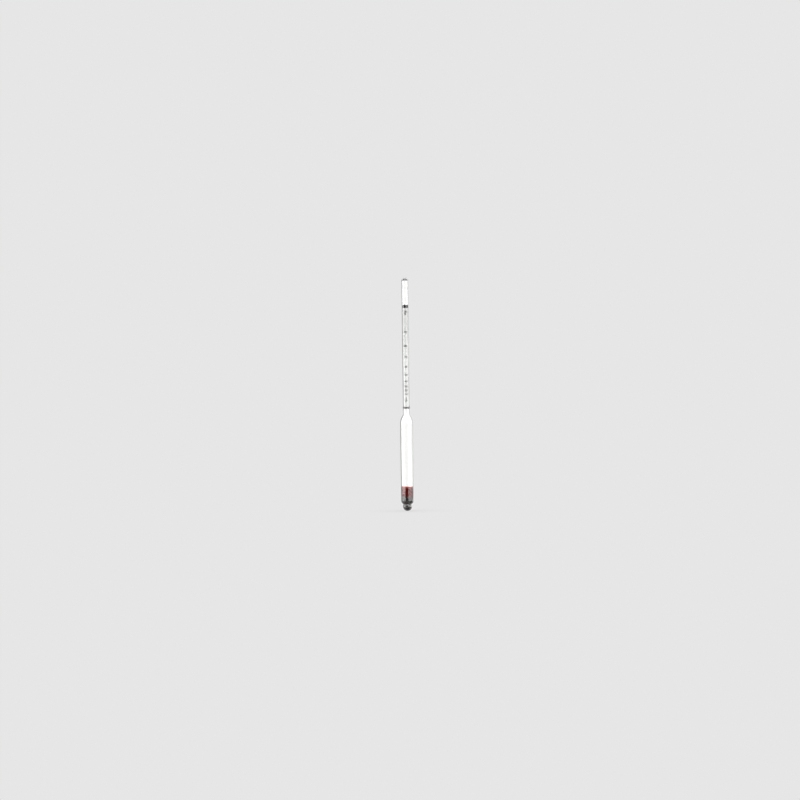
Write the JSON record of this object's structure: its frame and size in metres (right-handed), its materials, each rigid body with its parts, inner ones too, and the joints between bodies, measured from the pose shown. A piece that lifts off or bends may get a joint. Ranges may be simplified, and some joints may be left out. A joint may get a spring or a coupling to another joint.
{
  "type": "spirit hydrometer",
  "caption": "Sealed glass spirit hydrometer: slim stem with a rolled paper scale, wider float body, and a round bulb weighted with steel shot under red wax.",
  "frame": {"origin": "lowest point of the ballast bulb, on the axis of the hydrometer", "axes": "+Z along the axis, from the ballast bulb up to the tip of the stem; -Y is the side with the alcohol scale"},
  "size_m": [0.0162, 0.0162, 0.3],
  "materials": {
    "clear_glass": "flame-polished clear glass",
    "scale_paper": "smooth matt paper",
    "body_paper": "smooth matt paper",
    "cement": "set dark cement",
    "red_wax": "poured sealing wax, satin",
    "steel_shot": "tumbled steel pellets",
    "black_ink": "matt printing ink"
  },
  "bodies": {
    "root": {"stem_tube": "clear_glass", "float_tube": "clear_glass", "scale_paper": "scale_paper", "scale_cement": "cement", "body_paper": "body_paper", "sealing_wax": "red_wax", "ballast_shot": "steel_shot"}
  },
  "joints": []
}
